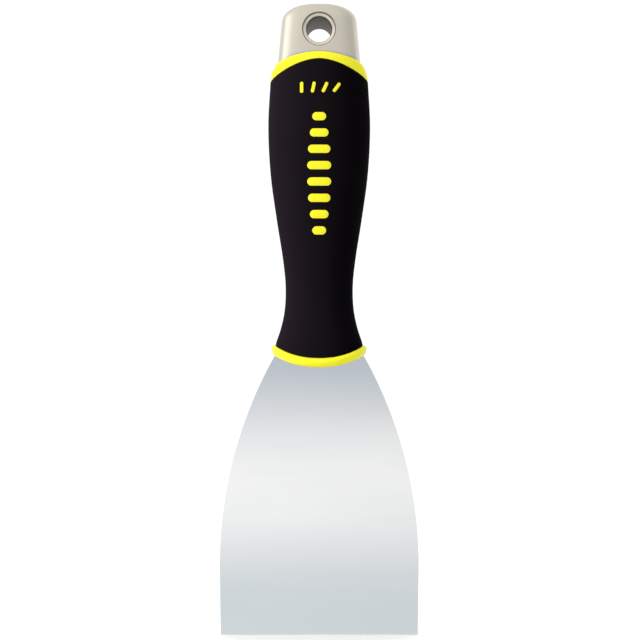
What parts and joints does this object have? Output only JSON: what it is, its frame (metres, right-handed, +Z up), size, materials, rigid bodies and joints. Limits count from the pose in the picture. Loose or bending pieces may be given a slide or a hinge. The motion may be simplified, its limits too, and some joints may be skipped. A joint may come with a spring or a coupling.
{
  "type": "flexible putty knife",
  "caption": "Flexible putty knife with a thin flared steel blade, a soft-grip moulded handle, a metal hammer end cap and a hang hole.",
  "frame": {"origin": "centre of the hang hole, midway between the front and back faces of the hammer cap", "axes": "+Z up the handle from the blade to the hammer cap, X across the blade, -Y out of the front face"},
  "size_m": [0.077, 0.0298, 0.2416],
  "materials": {
    "blade_steel": "bright rolled stainless spring steel, very finely ground",
    "core_plastic": "neon yellow polypropylene, glossy as moulded",
    "grip_rubber": "black thermoplastic rubber, fine matt moulded texture",
    "cap_metal": "warm satin nickel plate, bead blasted",
    "eyelet_metal": "bright nickel plate, smooth rolled lip"
  },
  "bodies": {
    "handle": {"handle_core": "core_plastic", "soft_grip": "grip_rubber", "hammer_cap": "cap_metal", "hang_eyelet": "eyelet_metal", "blade_tang": "blade_steel"},
    "flexing_blade": {"blade": "blade_steel"}
  },
  "joints": [
    {"name": "blade_flex", "type": "hinge", "parent": "handle", "child": "flexing_blade", "pos_m": [0, 0, -0.158], "axis": [1, 0, 0], "range_deg": [-30, 30], "stiffness_Nm_per_rad": 2.8}
  ]
}
